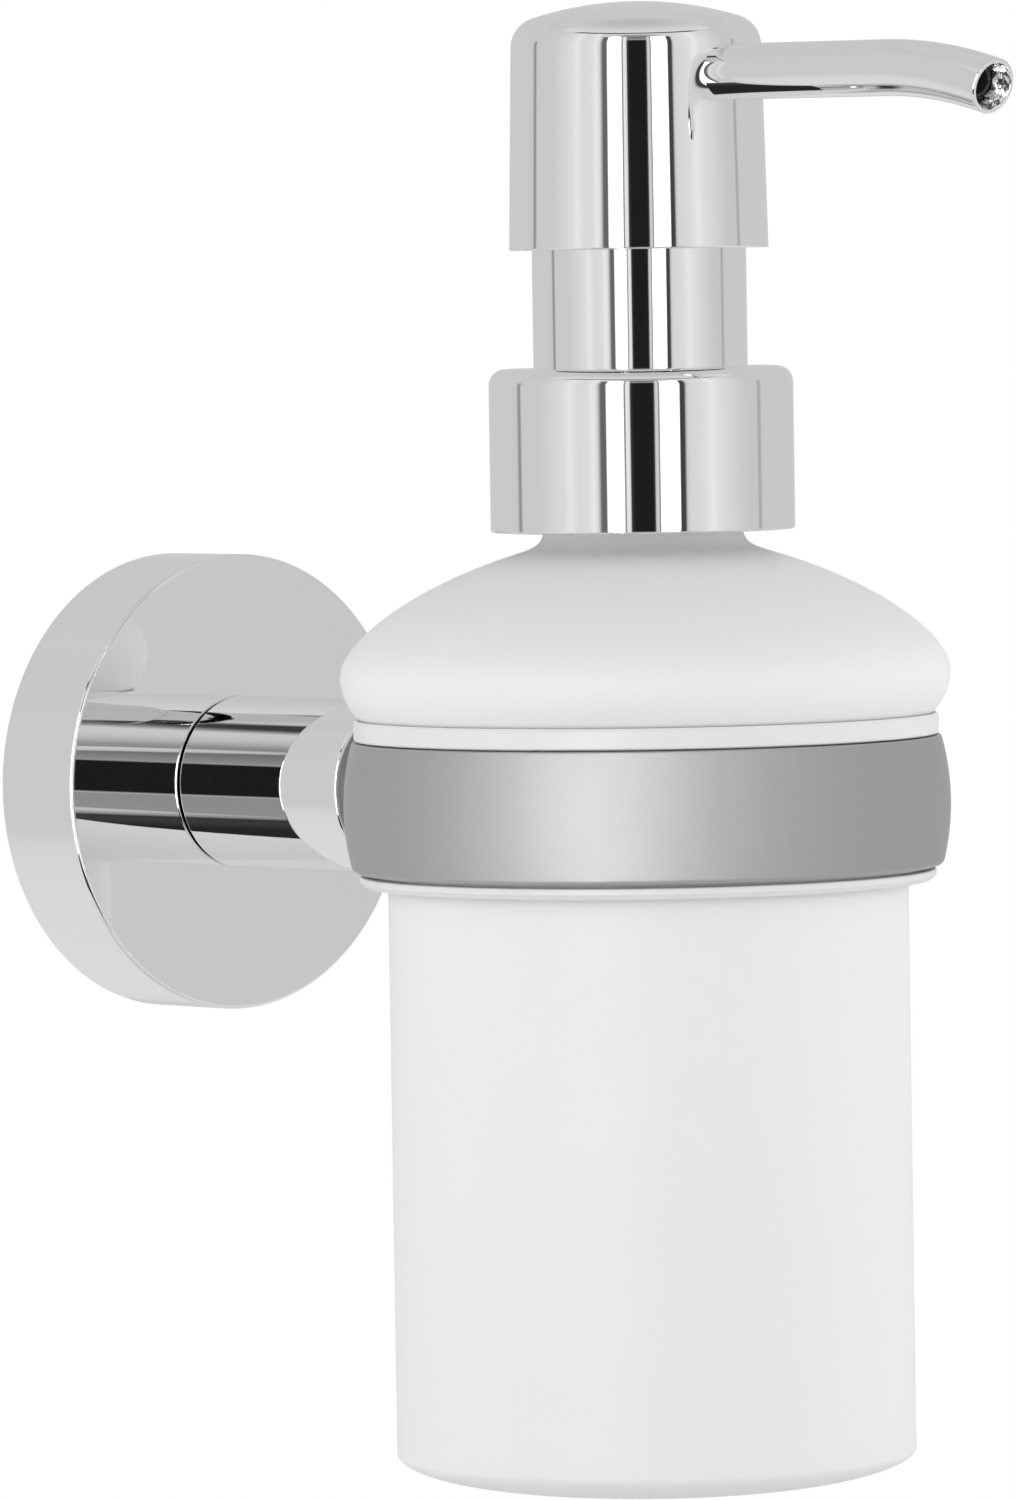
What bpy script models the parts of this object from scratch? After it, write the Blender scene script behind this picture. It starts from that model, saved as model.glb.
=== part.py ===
"""Wall mounted soap dispenser.

Frame: metres, +Z up. The origin is the centre of the rose on the wall face, the wall is the
plane y = 0, and the holder reaches out along -Y. The bottle and its pump stand on a vertical
axis at y = -BOTTLE_OUT. Dimensions below are in millimetres and are converted once, in the
functions that make the shapes.
"""
import math

import bmesh
import bpy
from mathutils import Matrix, Vector

for old in list(bpy.data.objects):
    bpy.data.objects.remove(old, do_unlink=True)

MM = 0.001

# ---- driving dimensions, mm -------------------------------------------------
GAP = 0.3  # clearance between faces that touch on the real object

ROSE_R, ROSE_DEPTH, ROSE_WALL, ROSE_FACE = 28.65, 13.35, 1.75, 2.45
PLATE_R, PLATE_STEP_R, PLATE_T, PLATE_STEP_T = 26.5, 22.0, 3.2, 7.0
SLOT_X, SLOT_R, SLOT_HALF, SLOT_HEAD_R = 14.8, 2.4, 2.6, 4.5
ARM_R, ARM_END = 10.87, 42.4
SPACER_R = 6.0
BOTTLE_OUT = 86.0

RING_MID_Z, RING_R, RING_BORE_R = -0.9, 36.74, 33.6
RING_TOP, RING_BOTTOM, RING_BARREL = 7.06, -8.95, 0.0169
LINER_R, LINER_BORE_R, LINER_LIP_R, LINER_LIP_TOP = 33.3, 32.1, 35.4, 9.5

BODY_R, GLASS_WALL, GLASS_FLOOR = 31.5, 3.0, 5.0
GLASS_BOTTOM = -83.5
BULGE_R, BULGE_Z, BULGE_EDGE = 37.0, 15.2, 7.7
SHOULDER_RISE, SHOULDER_POWER = 17.1, 1.6
NECK_R, NECK_BORE_R, NECK_TOP = 12.0, 9.4, 46.0
THREAD_CREST_R, THREAD_PITCH, THREAD_TURNS, THREAD_Z = 13.3, 3.2, 1.4, 38.2

COLLAR_R, COLLAR_BOTTOM, COLLAR_TOP, COLLAR_WALL = 18.4, 32.2, 51.9, 0.9
COLLAR_HOLE_R, COLLAR_ROUND = 13.3, 1.3
INSERT_R, INSERT_BORE_R, INSERT_RIDGE_R = 17.2, 13.75, 12.5
WEB_HOLE_R, WEB_LOW, WEB_TOP = 11.3, 48.9, 50.5

CYL_R, CYL_BORE_R, SOCKET_R, SOCKET_BORE_R = 7.4, 6.2, 9.0, 8.0
FLANGE_R, FLANGE_LOW, FLANGE_TOP = 13.4, 47.6, 48.6
CYL_FLOOR, CAGE_R, SEAT_R, SEAT_Z = 1.5, 2.9, 1.6, -4.0
DIP_R, DIP_BORE_R, DIP_TOP, DIP_END = 3.0, 2.1, -6.8, -77.0

SLEEVE_R, SLEEVE_WALL, SLEEVE_TOP = 12.94, 0.84, 68.5
RETAINER_TOP, RETAINER_CUP_R, RETAINER_CUP_FLOOR = 67.0, 10.8, 52.3
STEM_R, STEM_BORE_R, STEM_END, STEM_TOP = 4.0, 1.4, 30.0, 84.0
PISTON_R, PISTON_TOP = 5.9, 39.9
STROKE = 13.0
SPRING_R, SPRING_WIRE, SPRING_TURNS = 4.4, 0.45, 6.0

HEAD_BOTTOM, HEAD_R, HEAD_TOP_R = 66.14, 15.66, 15.12
HEAD_APEX, HEAD_SHOULDER, HEAD_CAP_R, HEAD_ROUND, HEAD_WALL = 96.0, 93.3, 42.0, 2.4, 0.9
SPOUT_R, SPOUT_WALL, SPOUT_Z, SPOUT_TIP, SPOUT_BEND = 3.35, 0.85, 87.15, 59.3, 42.0
SPOUT_BEND_R = 60.0

# ---- collections ------------------------------------------------------------
parts = bpy.data.collections.new("soap_dispenser")
cutters = bpy.data.collections.new("cutters")
for c in (parts, cutters):
    bpy.context.scene.collection.children.link(c)


def material(name, colour, roughness, metallic=0.0, alpha=1.0):
    m = bpy.data.materials.new(name)
    m.use_nodes = True
    b = m.node_tree.nodes["Principled BSDF"]
    b.inputs["Base Color"].default_value = (*colour, 1.0)
    b.inputs["Roughness"].default_value = roughness
    b.inputs["Metallic"].default_value = metallic
    b.inputs["Alpha"].default_value = alpha
    m.diffuse_color = (*colour, alpha)
    return m


CHROME = (0.86, 0.86, 0.87)
WHITE = (0.88, 0.88, 0.87)


def pivot(name, parent=None, at=(0, 0, 0)):
    """An empty on a joint's axis. Its children use its place as their own."""
    e = bpy.data.objects.new(name, None)
    e.location = [v * MM for v in at]
    e.parent = parent
    parts.objects.link(e)
    return e


bottle_axis = pivot("bottle_pivot", None, (0, -BOTTLE_OUT, 0))
pump_axis = pivot("pump_pivot", bottle_axis)
collar_axis = pivot("collar_pivot", pump_axis)
plunger_axis = pivot("plunger_pivot", pump_axis)
head_axis = pivot("head_pivot", plunger_axis)
ALONG_ARM = (math.pi / 2, 0, 0)  # turns local +Z to -Y, out of the wall


# ---- shapes -----------------------------------------------------------------
def arc(cx, cz, r, a0, a1, n, rz=None):
    """Points on an arc about (cx, cz), angles in degrees, ends included."""
    rz = r if rz is None else rz
    out = []
    for i in range(n + 1):
        a = math.radians(a0 + (a1 - a0) * i / n)
        out.append((cx + r * math.cos(a), cz + rz * math.sin(a)))
    return out


def turned(name, profile, steps, mat=None, parent=None, at=(0, 0, 0), rot=(0, 0, 0), cutter=False):
    """Turns a profile of (radius, height) in mm about local Z with a Screw modifier."""
    area = sum(
        a[0] * b[1] - b[0] * a[1]
        for a, b in zip(profile, profile[1:] + profile[:1])
    )
    pts = list(profile) if area < 0 else list(reversed(profile))
    if not cutter and any(p[0] < 1e-9 for p in pts):
        # an open profile starts on the axis and ends on it
        k = next(
            i
            for i in range(len(pts))
            if pts[i][0] < 1e-9 and pts[i - 1][0] < 1e-9
        )
        pts = pts[k:] + pts[:k]
        closed = False
    elif cutter and pts[0][0] < 1e-9:
        k = next(
            i
            for i in range(len(pts))
            if pts[i][0] < 1e-9 and pts[i - 1][0] < 1e-9
        )
        pts = pts[k:] + pts[:k]
        closed = False
    else:
        closed = not any(p[0] < 1e-9 for p in pts)
    me = bpy.data.meshes.new(name)
    n = len(pts)
    edges = [(i, i + 1) for i in range(n - 1)] + ([(n - 1, 0)] if closed else [])
    me.from_pydata([(r * MM, 0, z * MM) for r, z in pts], edges, [])
    o = bpy.data.objects.new(name, me)
    s = o.modifiers.new("turn", "SCREW")
    s.axis = "Z"
    s.angle = 2 * math.pi
    s.steps = s.render_steps = steps
    s.use_merge_vertices = True
    s.merge_threshold = 0.00001
    s.use_smooth_shade = True
    place(o, mat, parent, at, rot, cutter)
    return o


def place(o, mat=None, parent=None, at=(0, 0, 0), rot=(0, 0, 0), cutter=False):
    o.location = [v * MM for v in at]
    o.rotation_euler = rot
    o.parent = parent
    if cutter:
        o.hide_render = True
        o.display_type = "WIRE"
        cutters.objects.link(o)
    else:
        o.data.materials.append(mat)
        parts.objects.link(o)
    return o


def rod(name, r, length, at, rot, sides=24, parent=None):
    """A cylinder cutter, centred on a point."""
    me = bpy.data.meshes.new(name)
    bm = bmesh.new()
    bmesh.ops.create_cone(
        bm, cap_ends=True, segments=sides, radius1=r * MM, radius2=r * MM, depth=length * MM
    )
    bm.to_mesh(me)
    bm.free()
    return place(bpy.data.objects.new(name, me), None, parent, at, rot, True)


def block(name, size, at, rot=(0, 0, 0), parent=None):
    me = bpy.data.meshes.new(name)
    bm = bmesh.new()
    bmesh.ops.create_cube(bm, size=1.0)
    bmesh.ops.scale(bm, vec=[s * MM for s in size], verts=bm.verts)
    bm.to_mesh(me)
    bm.free()
    return place(bpy.data.objects.new(name, me), None, parent, at, rot, True)


def slot(name, r, half, length, at):
    """A round-ended slot cutter that stands along Z and cuts along Y."""
    me = bpy.data.meshes.new(name)
    bm = bmesh.new()
    ring = [(r * math.cos(a), half + r * math.sin(a)) for a in [math.pi * i / 8 for i in range(9)]]
    ring += [(-x, -z) for x, z in ring]
    face = bm.faces.new([bm.verts.new((x * MM, -length / 2 * MM, z * MM)) for x, z in ring])
    made = bmesh.ops.extrude_face_region(bm, geom=[face])
    bmesh.ops.translate(
        bm,
        vec=(0, length * MM, 0),
        verts=[v for v in made["geom"] if isinstance(v, bmesh.types.BMVert)],
    )
    bmesh.ops.recalc_face_normals(bm, faces=bm.faces)
    bm.to_mesh(me)
    bm.free()
    return place(bpy.data.objects.new(name, me), None, None, at, (0, 0, 0), True)


def boolean(o, other, how="DIFFERENCE"):
    b = o.modifiers.new(how.lower() + "_" + other.name, "BOOLEAN")
    b.operation = how
    b.solver = "EXACT"
    b.object = other
    return o


def helix_ridge(name, r_base, r_crest, w_base, w_crest, z0, parent, per_turn=20):
    """A screw thread's ridge: a trapezoid carried along a helix, low at both ends."""
    me = bpy.data.meshes.new(name)
    bm = bmesh.new()
    n = int(per_turn * THREAD_TURNS)
    rings = []
    for i in range(n + 1):
        t = i / n
        a = 2 * math.pi * THREAD_TURNS * t
        z = z0 + THREAD_PITCH * THREAD_TURNS * t
        high = min(1.0, 0.25 + 6 * t, 0.25 + 6 * (1 - t))
        rc = r_base + (r_crest - r_base) * high
        ring = [(r_base, -w_base / 2), (rc, -w_crest / 2), (rc, w_crest / 2), (r_base, w_base / 2)]
        rings.append(
            [
                bm.verts.new((r * math.cos(a) * MM, r * math.sin(a) * MM, (z + dz) * MM))
                for r, dz in ring
            ]
        )
    for low, up in zip(rings, rings[1:]):
        for k in range(4):
            bm.faces.new((low[k], low[(k + 1) % 4], up[(k + 1) % 4], up[k]))
    bm.faces.new(rings[0])
    bm.faces.new(rings[-1])
    bmesh.ops.recalc_face_normals(bm, faces=bm.faces)
    bm.to_mesh(me)
    bm.free()
    return place(bpy.data.objects.new(name, me), None, parent, (0, 0, 0), (0, 0, 0), True)


def tube(name, points, r, resolution, caps=True):
    """A curve object along points in mm, round in section."""
    cu = bpy.data.curves.new(name, "CURVE")
    cu.dimensions = "3D"
    cu.bevel_depth = r * MM
    cu.bevel_resolution = resolution
    cu.use_fill_caps = caps
    sp = cu.splines.new("POLY")
    sp.points.add(len(points) - 1)
    for p, q in zip(sp.points, points):
        p.co = (q[0] * MM, q[1] * MM, q[2] * MM, 1)
    return bpy.data.objects.new(name, cu)


def ball(name, r, z, mat, parent):
    me = bpy.data.meshes.new(name)
    bm = bmesh.new()
    bmesh.ops.create_uvsphere(bm, u_segments=12, v_segments=8, radius=r * MM)
    bm.to_mesh(me)
    bm.free()
    me.shade_smooth()
    return place(bpy.data.objects.new(name, me), mat, parent, (0, 0, z))


# ---- holder: wall plate, rose, arm and ring ---------------------------------
plate = turned(
    "wall_plate",
    [
        (0, PLATE_T), (8, PLATE_T), (8, PLATE_STEP_T), (PLATE_STEP_R - 0.5, PLATE_STEP_T),
        (PLATE_STEP_R, PLATE_STEP_T - 0.5), (PLATE_STEP_R, PLATE_T - 0.2), (PLATE_R, PLATE_T - 0.2),
        (PLATE_R, 0), (0, 0),
    ],
    40,
    material("zinc_steel", (0.55, 0.55, 0.56), 0.45, 1.0),
    rot=ALONG_ARM,
)
for side in (-1, 1):
    tag = "left" if side < 0 else "right"
    boolean(plate, slot("slot_" + tag, SLOT_R, SLOT_HALF, 20, (side * SLOT_X, 0, 0)))
    boolean(plate, slot("slot_head_" + tag, SLOT_HEAD_R, SLOT_HALF, 6, (side * SLOT_X, -6.6, 0)))

rose = turned(
    "flange_cover",
    [
        (3.4, ROSE_DEPTH), (ROSE_R - 0.6, ROSE_DEPTH), (ROSE_R - 0.15, ROSE_DEPTH - 0.2),
        (ROSE_R, ROSE_DEPTH - 0.6), (ROSE_R, GAP), (ROSE_R - ROSE_WALL, GAP),
        (ROSE_R - ROSE_WALL, ROSE_DEPTH - ROSE_FACE - 1), (ROSE_R - ROSE_WALL - 1, ROSE_DEPTH - ROSE_FACE),
        (3.4, ROSE_DEPTH - ROSE_FACE),
    ],
    40,
    material("rose_chrome", CHROME, 0.05, 1.0),
    rot=ALONG_ARM,
)
boolean(rose, rod("grub_hole", 2.3, 6, (0, -5.2, -ROSE_R + 0.5), (0, 0, 0), 16))

grub = turned(
    "flange_grub_screw",
    [(0, 6.2), (1.2, 6.2), (1.9, 5.6), (1.9, 0.3), (1.6, 0), (0, 0)],
    14,
    material("grub_steel", (0.35, 0.35, 0.36), 0.35, 1.0),
    at=(0, -5.2, -ROSE_R + 0.15),
)
boolean(grub, rod("grub_hex", 1.0, 4, (0, -5.2, -ROSE_R + 0.15), (0, 0, 0), 6))

head_face = ROSE_DEPTH - ROSE_FACE - GAP
arm_screw = turned(
    "arm_screw",
    [
        (0, 26), (2.5, 26), (3.0, 25.4), (3.0, head_face), (5.0, head_face), (5.0, head_face - 4.9),
        (4.7, head_face - 5.3), (0, head_face - 5.3),
    ],
    20,
    material("arm_screw_steel", (0.5, 0.5, 0.5), 0.35, 1.0),
    rot=ALONG_ARM,
)
boolean(arm_screw, rod("arm_screw_hex", 2.8, 5, (0, -(head_face - 5.3), 0), ALONG_ARM, 6))

turned(
    "arm_post",
    [
        (0, 33), (2.35, 33), (2.35, ARM_END), (ARM_R - 0.55, ARM_END), (ARM_R - 0.15, ARM_END - 0.15),
        (ARM_R, ARM_END - 0.55), (ARM_R, ROSE_DEPTH + GAP + 0.2), (ARM_R - 0.2, ROSE_DEPTH + GAP),
        (3.35, ROSE_DEPTH + GAP), (3.35, 28), (0, 28),
    ],
    32,
    material("arm_chrome", CHROME, 0.05, 1.0),
    rot=ALONG_ARM,
)

spacer = turned(
    "ring_spacer",
    [(2.35, 52), (SPACER_R, 52), (SPACER_R, ARM_END + GAP), (2.35, ARM_END + GAP)],
    24,
    material("spacer_chrome", CHROME, 0.05, 1.0),
    rot=ALONG_ARM,
)
boolean(spacer, rod("ring_envelope", RING_R + 0.35, 30, (0, -BOTTLE_OUT, 0), (0, 0, 0), 96))


def barrel(z):
    return RING_R - RING_BARREL * (z - RING_MID_Z) ** 2


ring_low = RING_BOTTOM + 1.0
ring_outer = [(barrel(RING_TOP) - 0.3, RING_TOP)]
for i in range(7):
    z = RING_TOP - 0.25 + (ring_low - RING_TOP + 0.25) * i / 6
    ring_outer.append((barrel(z), z))
ring_outer += arc(barrel(ring_low) - 1.0, ring_low, 1.0, -25, -90, 3)
ring = turned(
    "holder_ring",
    ring_outer + [(RING_BORE_R, RING_BOTTOM), (RING_BORE_R, RING_TOP)],
    40,
    material("ring_satin", (0.62, 0.62, 0.61), 0.42, 1.0),
    None,
    at=(0, -BOTTLE_OUT, 0),
)
screw_in = BOTTLE_OUT - RING_BORE_R  # the ring's bore, measured from the wall
boolean(
    ring,
    turned(
        "ring_countersink",
        [
            (0, screw_in + 1.0), (4.4, screw_in + 1.0), (4.4, screw_in - 0.35), (2.4, screw_in - 2.35),
            (2.4, screw_in - 8), (0, screw_in - 8),
        ],
        20,
        rot=ALONG_ARM,
        cutter=True,
    ),
)
ring_screw = turned(
    "ring_screw",
    [
        (0, screw_in - 0.15), (3.9, screw_in - 0.15), (3.9, screw_in - 0.45), (2.0, screw_in - 2.35),
        (2.0, 34.5), (1.6, 34), (0, 34),
    ],
    16,
    material("ring_screw_steel", (0.5, 0.5, 0.5), 0.35, 1.0),
    rot=ALONG_ARM,
)
boolean(ring_screw, rod("ring_screw_hex", 1.4, 3, (0, -screw_in, 0), ALONG_ARM, 6))

# the liner's seat follows the underside of the glass bulge
seat = [(r, BULGE_Z - math.sqrt((BULGE_EDGE + 0.35) ** 2 - (r - BULGE_R + BULGE_EDGE) ** 2)) for r in (35.1, 34.0, 33.0)]
turned(
    "ring_liner",
    [(LINER_LIP_R, 9.2), (LINER_LIP_R, RING_TOP + GAP), (LINER_R, RING_TOP + GAP), (LINER_R, RING_BOTTOM - GAP),
     (34.9, RING_BOTTOM - GAP), (34.9, RING_BOTTOM - 0.9), (34.2, RING_BOTTOM - 1.5), (LINER_BORE_R, RING_BOTTOM - 1.7),
     (LINER_BORE_R, 7.55)] + list(reversed(seat)),
    40,
    material("liner_plastic", WHITE, 0.45),
    at=(0, -BOTTLE_OUT, 0),
)


# ---- glass bottle -----------------------------------------------------------
def shoulder(r, big_r, rise):
    return BULGE_Z + rise * (1 - (r / big_r) ** SHOULDER_POWER) ** (1 / SHOULDER_POWER)


def dome(r0, r1, big_r, rise, n):
    """Shoulder points from radius r0 out to r1, closer together towards the edge."""
    out = []
    for i in range(n + 1):
        t = math.sin(math.pi / 2 * i / n)
        r = r0 + (r1 - r0) * t
        out.append((r, shoulder(r, big_r, rise)))
    return out


edge = BULGE_R - BULGE_EDGE
inner_r, inner_bulge = BODY_R - GLASS_WALL, BULGE_R - GLASS_WALL
floor_z = GLASS_BOTTOM + GLASS_FLOOR
outside = [(NECK_R - 0.4, NECK_TOP), (NECK_R, NECK_TOP - 0.4), (NECK_R, 30.9)]
outside += dome(12.5, BULGE_R, BULGE_R, SHOULDER_RISE, 9)
outside += [p for p in arc(edge, BULGE_Z, BULGE_EDGE, 0, -72, 5)[1:]]
outside += [(BODY_R, BULGE_Z - BULGE_EDGE - 0.2)]
base_w, base_h, base_n = 20.0, 4.2, 1.9
for i in range(6):
    t = math.pi / 2 * i / 5
    outside.append(
        (
            BODY_R - base_w + base_w * math.cos(t) ** (2 / base_n) if i < 5 else BODY_R - base_w,
            GLASS_BOTTOM + base_h - base_h * math.sin(t) ** (2 / base_n),
        )
    )
inside = [(0, floor_z)] + arc(inner_r - 4, floor_z + 4, 4, -90, 0, 3)
inside += [(inner_r, BULGE_Z - 6.2)] + arc(edge, BULGE_Z, BULGE_EDGE - GLASS_WALL, -70, 0, 3)
inside += list(reversed(dome(NECK_BORE_R, inner_bulge, inner_bulge, SHOULDER_RISE - 2.7, 6)))[1:]
inside += [(NECK_BORE_R, NECK_TOP)]
glass = turned(
    "glass_bottle",
    inside + outside + [(0, GLASS_BOTTOM)],
    34,
    material("frosted_glass", (0.9, 0.91, 0.91), 0.55, 0.0, 0.6),
    bottle_axis,
)
boolean(
    glass,
    helix_ridge("glass_thread", NECK_R - 0.5, THREAD_CREST_R, 2.0, 0.9, THREAD_Z, bottle_axis),
    "UNION",
)

# ---- pump cartridge ---------------------------------------------------------
turned(
    "pump_housing",
    [
        (FLANGE_R, FLANGE_TOP), (FLANGE_R, FLANGE_LOW), (SOCKET_R, FLANGE_LOW), (SOCKET_R, 38.5), (CYL_R, 36),
        (CYL_R, -3), (4.6, -7.5), (4.6, -17), (3.3, -17), (3.3, DIP_TOP + GAP), (SEAT_R, DIP_TOP + GAP),
        (SEAT_R, SEAT_Z), (CAGE_R, SEAT_Z + 1.8), (CAGE_R, CYL_FLOOR), (CYL_BORE_R, CYL_FLOOR),
        (CYL_BORE_R, 38.5), (SOCKET_BORE_R, 39.9), (SOCKET_BORE_R, FLANGE_TOP),
    ],
    20,
    material("housing_plastic", (0.85, 0.86, 0.86), 0.35),
    pump_axis,
)
turned(
    "housing_gasket",
    [(12.6, NECK_TOP + GAP + 1), (12.6, NECK_TOP + GAP), (9.5, NECK_TOP + GAP), (9.5, NECK_TOP + GAP + 1)],
    24,
    material("gasket_foam", (0.8, 0.8, 0.78), 0.8),
    pump_axis,
)
turned(
    "stem_retainer",
    [
        (SLEEVE_R - SLEEVE_WALL - GAP, RETAINER_TOP), (SLEEVE_R - SLEEVE_WALL - GAP, WEB_TOP + GAP),
        (WEB_HOLE_R - 0.4, WEB_TOP + GAP), (WEB_HOLE_R - 0.4, FLANGE_TOP + 0.35), (SOCKET_BORE_R - 0.35, FLANGE_TOP + 0.35),
        (SOCKET_BORE_R - 0.35, 40.8), (SOCKET_BORE_R - 1.0, 40.3), (STEM_R + 0.35, 40.3), (STEM_R + 0.35, 49.8), (6.6, 49.8),
        (6.6, RETAINER_CUP_FLOOR), (RETAINER_CUP_R, RETAINER_CUP_FLOOR), (RETAINER_CUP_R, RETAINER_TOP),
    ],
    24,
    material("retainer_plastic", (0.85, 0.86, 0.86), 0.35),
    pump_axis,
)
turned(
    "stem_wiper",
    [(6.3, 51.6), (6.3, 50.1), (STEM_R + GAP, 50.1), (STEM_R + GAP, 51.3), (STEM_R + 0.7, 51.6)],
    20,
    material("wiper_rubber", (0.7, 0.7, 0.68), 0.6),
    pump_axis,
)
turned(
    "guide_sleeve",
    [
        (SLEEVE_R - 0.3, SLEEVE_TOP), (SLEEVE_R, SLEEVE_TOP - 0.3), (SLEEVE_R, WEB_TOP + GAP),
        (SLEEVE_R - SLEEVE_WALL, WEB_TOP + GAP), (SLEEVE_R - SLEEVE_WALL, SLEEVE_TOP),
    ],
    32,
    material("sleeve_chrome", CHROME, 0.05, 1.0),
    pump_axis,
)
dip = turned(
    "dip_tube",
    [(DIP_R, DIP_TOP), (DIP_R, DIP_END), (DIP_BORE_R, DIP_END), (DIP_BORE_R, DIP_TOP)],
    14,
    material("dip_plastic", (0.85, 0.87, 0.88), 0.3),
    pump_axis,
)
boolean(dip, block("dip_slant", (20, 20, 10), (0, -1.5, DIP_END - 3.2), (math.radians(35), 0, 0), pump_axis))

coil_low, coil_high = CYL_FLOOR + GAP + SPRING_WIRE, STEM_END - GAP - SPRING_WIRE
coil = []
per_turn = 10
for i in range(int(SPRING_TURNS * per_turn) + 1):
    t = i / (SPRING_TURNS * per_turn)
    a = 2 * math.pi * SPRING_TURNS * t
    coil.append((SPRING_R * math.cos(a), SPRING_R * math.sin(a), coil_low + (coil_high - coil_low) * t))
place(
    tube("return_spring", coil, SPRING_WIRE, 2),
    material("spring_steel", (0.6, 0.6, 0.6), 0.3, 1.0),
    pump_axis,
)
ball("inlet_ball", 2.1, SEAT_Z + 1.95, material("inlet_ball_steel", (0.7, 0.7, 0.7), 0.15, 1.0), pump_axis)

# ---- screw collar -----------------------------------------------------------
collar_low = COLLAR_TOP - COLLAR_ROUND
turned(
    "collar_shell",
    [(COLLAR_HOLE_R, COLLAR_TOP)]
    + arc(COLLAR_R - COLLAR_ROUND, collar_low, COLLAR_ROUND, 90, 0, 4)
    + [
        (COLLAR_R, COLLAR_BOTTOM + 0.2), (COLLAR_R - 0.2, COLLAR_BOTTOM), (COLLAR_R - COLLAR_WALL, COLLAR_BOTTOM),
        (COLLAR_R - COLLAR_WALL, WEB_TOP - 0.4), (COLLAR_R - COLLAR_WALL - 0.7, WEB_TOP + GAP), (COLLAR_HOLE_R, WEB_TOP + GAP),
    ],
    40,
    material("collar_chrome", CHROME, 0.05, 1.0),
    collar_axis,
)
insert = turned(
    "collar_thread_insert",
    [
        (INSERT_R - 1.2, WEB_TOP), (INSERT_R, WEB_TOP - 1.2), (INSERT_R, COLLAR_BOTTOM + 0.8), (INSERT_BORE_R, COLLAR_BOTTOM + 0.8),
        (INSERT_BORE_R, WEB_LOW), (WEB_HOLE_R, WEB_LOW), (WEB_HOLE_R, WEB_TOP),
    ],
    40,
    material("insert_plastic", (0.82, 0.82, 0.82), 0.4),
    collar_axis,
)
boolean(
    insert,
    helix_ridge(
        "insert_thread", INSERT_BORE_R + 0.6, INSERT_RIDGE_R, 1.1, 0.5, THREAD_Z - THREAD_PITCH / 2, collar_axis
    ),
    "UNION",
)

# ---- plunger ----------------------------------------------------------------
turned(
    "pump_stem",
    [
        (STEM_R, STEM_TOP), (STEM_R, STEM_END + 1.4), (5.3, STEM_END + 1.4), (5.3, STEM_END), (STEM_BORE_R, STEM_END),
        (STEM_BORE_R, 73.6), (2.6, 75.0), (2.6, STEM_TOP),
    ],
    20,
    material("stem_plastic", (0.86, 0.86, 0.85), 0.3),
    plunger_axis,
)
turned(
    "piston_seal",
    [
        (PISTON_R, PISTON_TOP), (PISTON_R, PISTON_TOP - 1.2), (5.3, PISTON_TOP - 2.2), (5.3, STEM_END + 3.6),
        (PISTON_R, STEM_END + 2.6), (PISTON_R, STEM_END + 1.7), (STEM_R + GAP, STEM_END + 1.7), (STEM_R + GAP, PISTON_TOP),
    ],
    20,
    material("piston_rubber", (0.78, 0.79, 0.8), 0.5),
    plunger_axis,
)
ball("outlet_ball", 1.9, 75.35, material("outlet_ball_steel", (0.7, 0.7, 0.7), 0.15, 1.0), plunger_axis)

# ---- push head --------------------------------------------------------------
def head_side(z, inset=0.0):
    return HEAD_R + (HEAD_TOP_R - HEAD_R) * (z - HEAD_BOTTOM) / (91.0 - HEAD_BOTTOM) - inset


def cap(r, apex):
    return apex - r * r / (2 * HEAD_CAP_R)


round_x = HEAD_TOP_R - HEAD_ROUND
round_z = cap(round_x, HEAD_APEX) - HEAD_ROUND + 0.1
head_out = [(r, cap(r, HEAD_APEX)) for r in (0, 5, 9.5)]
head_out += arc(round_x, round_z, HEAD_ROUND, 72, 4, 4)
head_out += [(head_side(HEAD_BOTTOM + 0.25), HEAD_BOTTOM + 0.25), (head_side(HEAD_BOTTOM) - 0.25, HEAD_BOTTOM)]
head_in = [(head_side(HEAD_BOTTOM, HEAD_WALL), HEAD_BOTTOM), (head_side(91, HEAD_WALL), 90.9)]
head_in += [(round_x - 0.3, cap(round_x, HEAD_APEX) - HEAD_WALL - 0.4), (7, cap(7, HEAD_APEX) - HEAD_WALL), (0, HEAD_APEX - HEAD_WALL)]
shell = turned("head_shell", head_out + head_in, 40, material("head_chrome", CHROME, 0.05, 1.0), head_axis)
boolean(shell, rod("shell_hole", SPOUT_R + 0.35, 12, (0, -15, SPOUT_Z), ALONG_ARM, 24, head_axis))

core = turned(
    "actuator_core",
    [
        (0, 91.2), (12.6, 91.2), (13.75, 90.2), (13.75, 82.5), (8.5, 82.5), (8.5, HEAD_BOTTOM + 0.5), (STEM_R + 0.35, HEAD_BOTTOM + 0.5),
        (STEM_R + 0.35, STEM_TOP + GAP), (0, STEM_TOP + GAP),
    ],
    28,
    material("core_plastic", (0.83, 0.83, 0.82), 0.4),
    head_axis,
)
boolean(core, rod("core_channel", SPOUT_R + 0.35, 12, (0, -11.5, SPOUT_Z), ALONG_ARM, 24, head_axis))
boolean(core, rod("core_inlet", 2.0, 8, (0, -3.5, SPOUT_Z), ALONG_ARM, 12, head_axis))
boolean(core, rod("core_riser", 2.05, 5, (0, 0, STEM_TOP + 1.6), (0, 0, 0), 12, head_axis))

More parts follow.
